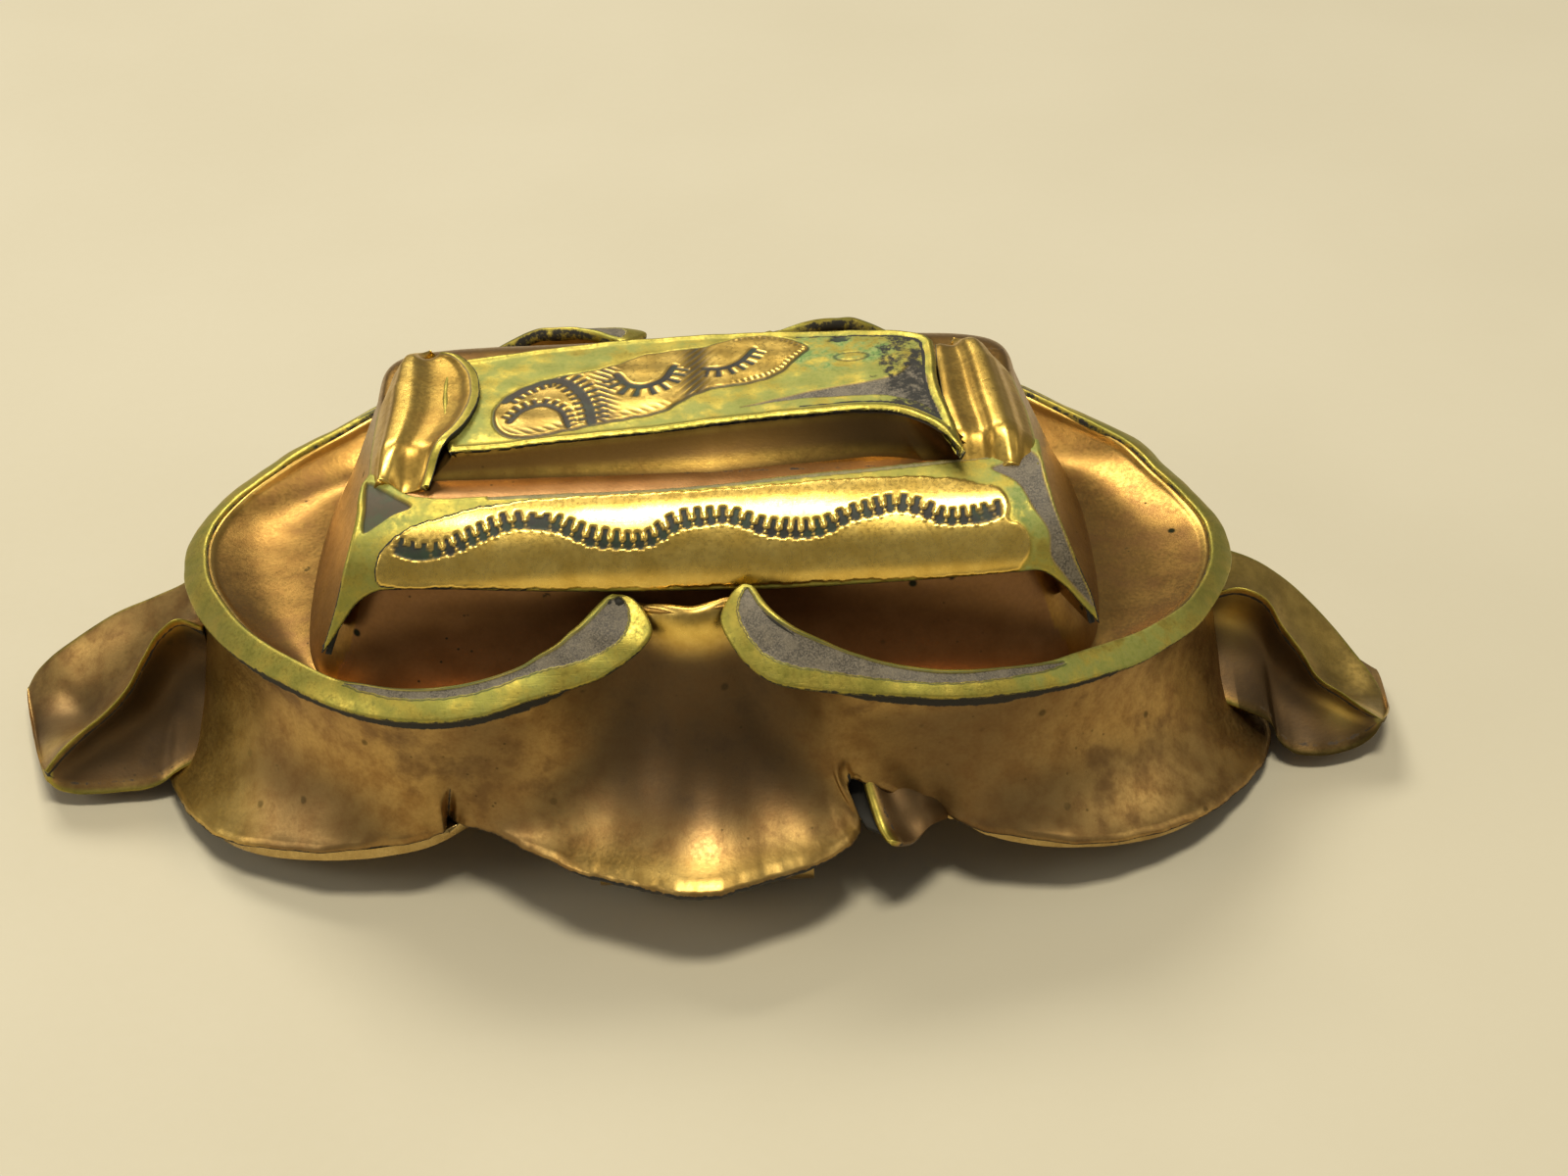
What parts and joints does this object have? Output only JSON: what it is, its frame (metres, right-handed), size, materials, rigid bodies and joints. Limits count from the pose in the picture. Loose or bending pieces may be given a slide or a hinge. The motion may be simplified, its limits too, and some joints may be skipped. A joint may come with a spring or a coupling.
{
  "type": "locket brooch",
  "caption": "Domed oblong brooch with scrolled rims, raised bar and folded wings, a hinged photograph compartment in the back, and a hinged pin with a C catch.",
  "frame": {"origin": "middle of the brooch, on the plane that the wing tips rest on", "axes": "+X along the brooch, +Y up its short side, +Z out of the decorated front"},
  "size_m": [0.0492, 0.0254, 0.0153],
  "materials": {
    "gilt": "satin rose-gold filled sheet, brown patina in the hollows",
    "gilt_polished": "polished rose-gold filled sheet",
    "brass_border": "yellow-green tarnished brass",
    "back_brass": "satin gold-filled sheet with fine scratches",
    "enamel": "granular grey-black enamel",
    "pin_metal": "drawn wire, satin",
    "card": "blank matt card",
    "glass": "thin clear glass"
  },
  "bodies": {
    "case": {"base_shell": "gilt", "field_dish": "gilt", "bar_shell": "gilt", "crest_shell": "gilt", "left_wing": "gilt", "right_wing": "gilt", "left_strap": "gilt", "right_strap": "gilt", "front_band": "gilt_polished", "rear_band": "gilt_polished", "left_scroll_rim": "brass_border", "right_scroll_rim": "brass_border", "crest_plate": "brass_border", "back_plate": "back_brass", "locket_well": "back_brass", "locket_bezel": "back_brass", "photo_rim": "back_brass", "door_fixed_knuckles": "back_brass", "scroll_enamel": "enamel", "bar_enamel": "enamel", "crest_enamel": "enamel", "door_hinge_pin": "pin_metal", "pin_hinge_base": "pin_metal", "pin_hinge_rivet": "pin_metal", "catch_base": "pin_metal", "c_catch": "pin_metal", "photo_card": "card", "photo_glass": "glass"},
    "locket_door": {"locket_door": "back_brass", "door_knuckle": "back_brass", "door_thumb_lip": "back_brass"},
    "pin": {"pin_knuckle": "pin_metal", "pin_stem": "pin_metal"}
  },
  "joints": [
    {"name": "locket_door_hinge", "type": "hinge", "parent": "case", "child": "locket_door", "pos_m": [0, -0.0092, 0.00175], "axis": [-1, 0, 0], "range_deg": [0, 110]},
    {"name": "pin_swing", "type": "hinge", "parent": "case", "child": "pin", "pos_m": [0.0125, 0.0068, 0.0012], "axis": [0, -0.9063, 0.4226], "range_deg": [0, 110]}
  ]
}
